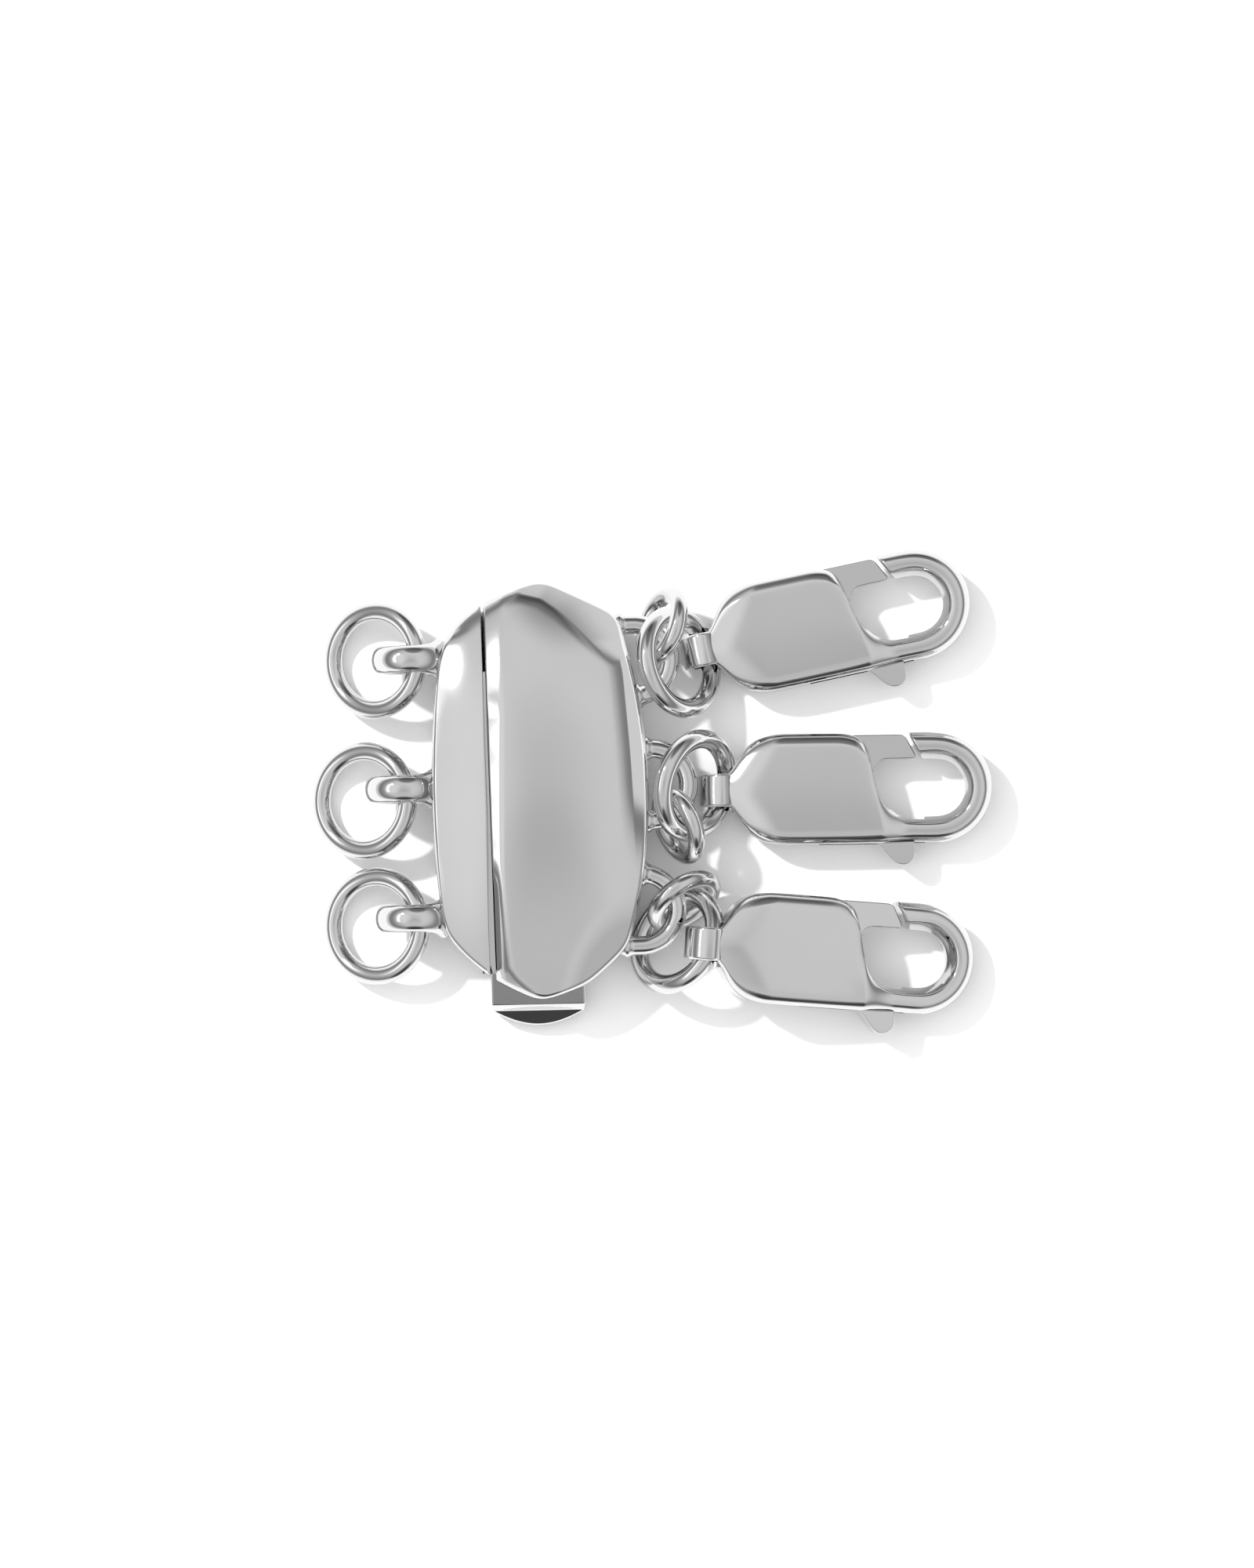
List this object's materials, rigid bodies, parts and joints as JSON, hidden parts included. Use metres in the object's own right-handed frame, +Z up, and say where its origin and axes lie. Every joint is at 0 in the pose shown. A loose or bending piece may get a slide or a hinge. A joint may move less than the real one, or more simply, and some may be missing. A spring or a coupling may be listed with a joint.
{
  "type": "multi-strand clasp",
  "caption": "Slide-lock clasp with jump rings on one side and sprung lobster clasps on the other, for wearing several strands without tangling.",
  "frame": {"origin": "under the middle of the slide clasp, on the flat back that it rests on", "axes": "+X from the jump rings to the lobster clasps, +Y along the slide clasp away from its end tab, +Z up out of the domed front"},
  "size_m": [0.029, 0.0206, 0.0049],
  "materials": {
    "rhodium_plate": "polished"
  },
  "bodies": {
    "housing": {"slide_housing": "rhodium_plate", "small_ring_1": "rhodium_plate", "large_ring_1": "rhodium_plate", "claw_body_1": "rhodium_plate", "claw_pin_1": "rhodium_plate", "small_ring_2": "rhodium_plate", "large_ring_2": "rhodium_plate", "claw_body_2": "rhodium_plate", "claw_pin_2": "rhodium_plate", "small_ring_3": "rhodium_plate", "large_ring_3": "rhodium_plate", "claw_body_3": "rhodium_plate", "claw_pin_3": "rhodium_plate"},
    "slider": {"slide_bar": "rhodium_plate", "left_ring_1": "rhodium_plate", "left_ring_2": "rhodium_plate", "left_ring_3": "rhodium_plate"},
    "lever_1": {"claw_lever_1": "rhodium_plate"},
    "lever_2": {"claw_lever_2": "rhodium_plate"},
    "lever_3": {"claw_lever_3": "rhodium_plate"}
  },
  "joints": [
    {"name": "clasp_slide", "type": "slide", "parent": "housing", "child": "slider", "axis": [0, -1, 0], "range_m": [0, 0.0145]},
    {"name": "lever_1_pivot", "type": "hinge", "parent": "housing", "child": "lever_1", "pos_m": [0.01251, 0.00698, 0.0012], "axis": [0, 0, -1], "range_deg": [0, 20], "stiffness_Nm_per_rad": 0.01, "springref_deg": -11.46},
    {"name": "lever_2_pivot", "type": "hinge", "parent": "housing", "child": "lever_2", "pos_m": [0.01321, -0.00013, 0.0012], "axis": [0, 0, -1], "range_deg": [0, 20], "stiffness_Nm_per_rad": 0.01, "springref_deg": -11.46},
    {"name": "lever_3_pivot", "type": "hinge", "parent": "housing", "child": "lever_3", "pos_m": [0.01234, -0.00712, 0.00198], "axis": [-0.2003, 0.0179, -0.9796], "range_deg": [0, 20], "stiffness_Nm_per_rad": 0.01, "springref_deg": -11.46}
  ]
}
